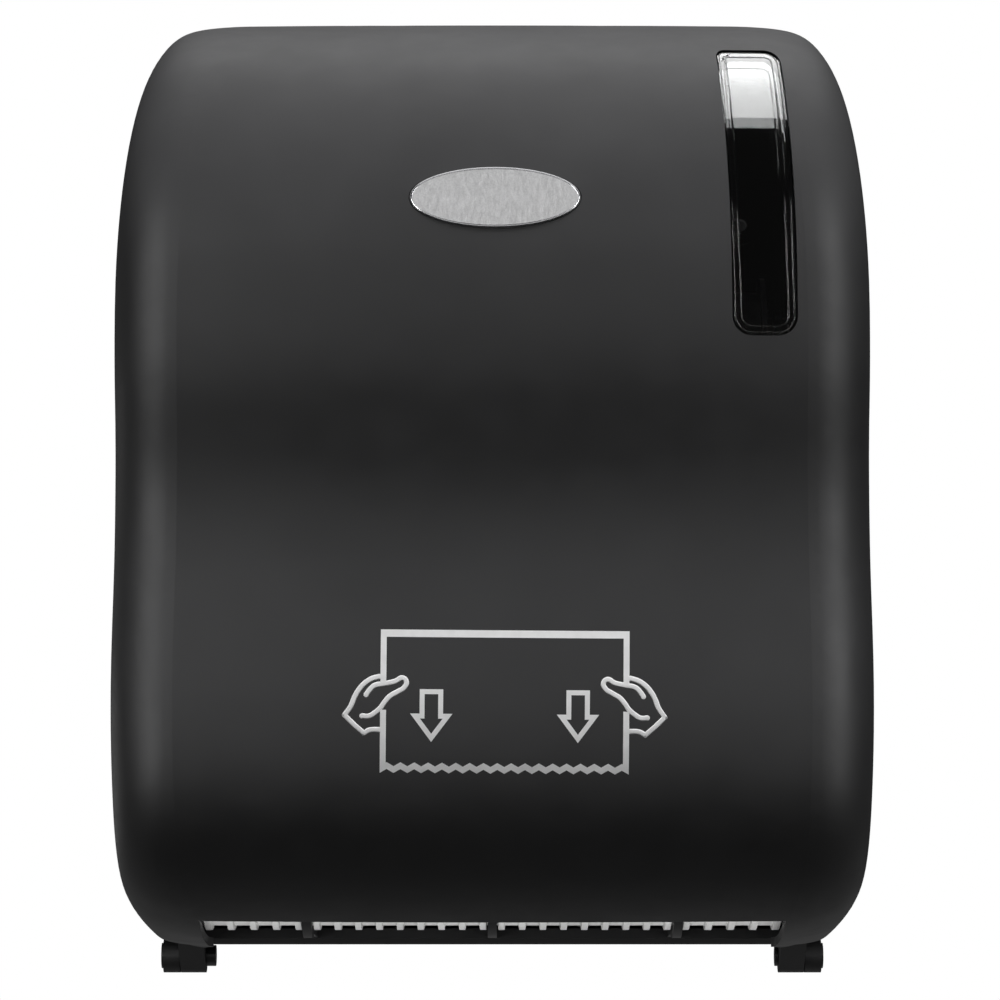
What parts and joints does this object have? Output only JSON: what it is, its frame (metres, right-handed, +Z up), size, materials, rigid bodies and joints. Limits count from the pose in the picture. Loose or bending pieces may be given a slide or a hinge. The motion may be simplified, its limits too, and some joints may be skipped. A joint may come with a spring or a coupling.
{
  "type": "roll towel dispenser",
  "caption": "Wall-mounted mechanical roll towel dispenser with a curved hinged cover, sight window, ribbed feed drum with a cam-steered knife, press roller and sprung roll arms.",
  "frame": {"origin": "centre of the four wall screw holes, on the plane of the wall", "axes": "+X to the right as seen from the room, +Y into the wall, +Z up"},
  "size_m": [0.3, 0.2243, 0.3712],
  "materials": {
    "cover_black": "fine moulded satin grain, black",
    "chassis_black": "satin moulded black",
    "window_clear": "clear polished plastic",
    "badge_silver": "brushed silver with a polished edge",
    "drum_grey": "light grey moulded",
    "moving_grey": "charcoal grey moulded",
    "wheel_blue": "blue moulded, the piece that a hand turns",
    "spring_steel": "spring steel",
    "zinc_steel": "bright zinc",
    "blade_steel": "ground stainless steel",
    "press_rubber": "matt black rubber",
    "bearing_white": "natural white bearing plastic",
    "lock_chrome": "bright plated",
    "pin_black": "satin black moulded"
  },
  "bodies": {
    "chassis": {"back_plate": "chassis_black", "side_frame_left": "chassis_black", "side_frame_right": "chassis_black", "frame_screws": "zinc_steel", "exit_guide": "chassis_black", "guide_screws": "zinc_steel", "strike": "zinc_steel", "strike_screw": "zinc_steel", "bush_left": "bearing_white", "bush_right": "bearing_white", "cam_ring": "bearing_white", "cam_screws": "zinc_steel", "spring_anchor": "zinc_steel", "drive_spring": "spring_steel", "spring_cover": "chassis_black", "lid_screws": "zinc_steel", "bail_pins": "zinc_steel", "bail_springs": "spring_steel", "arm_pins": "zinc_steel", "arm_spring_left": "spring_steel", "arm_spring_right": "spring_steel", "hinge_pin_left": "pin_black", "hinge_pin_right": "pin_black"},
    "cover": {"cover_shell": "cover_black", "window": "window_clear", "badge_plate": "badge_silver", "lock_barrel": "lock_chrome", "lock_nut": "zinc_steel"},
    "lock": {"lock_plug": "lock_chrome", "lock_cam": "zinc_steel", "lock_screw": "zinc_steel"},
    "drum": {"drum_shell_front": "drum_grey", "drum_shell_rear": "drum_grey", "drum_cap_left": "drum_grey", "drum_cap_right": "drum_grey", "drum_screws": "zinc_steel", "drum_shaft": "zinc_steel", "shaft_clip": "spring_steel", "feed_wheel": "wheel_blue", "crank_disc": "moving_grey", "crank_pin": "zinc_steel", "knife_spring": "spring_steel"},
    "knife": {"knife_carrier": "moving_grey", "knife_blade": "blade_steel", "knife_screws": "zinc_steel", "knife_shaft": "zinc_steel", "knife_lever": "zinc_steel"},
    "follower": {"cam_follower": "bearing_white"},
    "bail": {"press_bail": "moving_grey"},
    "press_roller": {"press_shaft": "zinc_steel", "press_sleeves": "press_rubber"},
    "arm_left": {"roll_arm_left": "moving_grey"},
    "arm_right": {"roll_arm_right": "moving_grey"},
    "hub_left": {"roll_hub_left": "moving_grey", "hub_clip_left": "spring_steel"},
    "hub_right": {"roll_hub_right": "moving_grey", "hub_clip_right": "spring_steel"}
  },
  "joints": [
    {"name": "cover_hinge", "type": "hinge", "parent": "chassis", "child": "cover", "pos_m": [0, -0.03, -0.181], "axis": [1, 0, 0], "range_deg": [0, 100]},
    {"name": "lock_turn", "type": "hinge", "parent": "cover", "child": "lock", "pos_m": [0, -0.06, 0.175], "axis": [0, 0, -1], "range_deg": [0, 90]},
    {"name": "drum_spin", "type": "hinge", "parent": "chassis", "child": "drum", "pos_m": [0, -0.095, -0.125], "axis": [1, 0, 0], "continuous": true, "deforming": ["drive_spring"]},
    {"name": "knife_swing", "type": "hinge", "parent": "drum", "child": "knife", "pos_m": [0, -0.11104, -0.10231], "axis": [-1, 0, 0], "range_deg": [-35, 0]},
    {"name": "follower_spin", "type": "hinge", "parent": "knife", "child": "follower", "pos_m": [-0.115, -0.0993, -0.11032], "axis": [1, 0, 0], "continuous": true},
    {"name": "press_lift", "type": "hinge", "parent": "chassis", "child": "bail", "pos_m": [0, -0.0361, -0.1156], "axis": [-1, 0, 0], "range_deg": [0, 8], "stiffness_Nm_per_rad": 2, "springref_deg": -8.59, "deforming": ["bail_springs"]},
    {"name": "press_roller_spin", "type": "hinge", "parent": "bail", "child": "press_roller", "pos_m": [0, -0.06085, -0.09085], "axis": [1, 0, 0], "continuous": true},
    {"name": "arm_left_swing", "type": "hinge", "parent": "chassis", "child": "arm_left", "pos_m": [-0.109, -0.018, 0.06], "axis": [0, 0, -1], "range_deg": [0, 8], "stiffness_Nm_per_rad": 1.5, "springref_deg": -5.73, "deforming": ["arm_spring_left"]},
    {"name": "arm_right_swing", "type": "hinge", "parent": "chassis", "child": "arm_right", "pos_m": [0.109, -0.018, 0.06], "axis": [0, 0, 1], "range_deg": [0, 8], "stiffness_Nm_per_rad": 1.5, "springref_deg": -5.73, "deforming": ["arm_spring_right"]},
    {"name": "hub_left_spin", "type": "hinge", "parent": "arm_left", "child": "hub_left", "pos_m": [-0.1, -0.112, 0.06], "axis": [1, 0, 0], "continuous": true},
    {"name": "hub_right_spin", "type": "hinge", "parent": "arm_right", "child": "hub_right", "pos_m": [0.1, -0.112, 0.06], "axis": [1, 0, 0], "continuous": true}
  ],
  "couplings": [
    {"joint": "press_roller_spin", "follows": "drum_spin", "ratio": -4.3333}
  ]
}
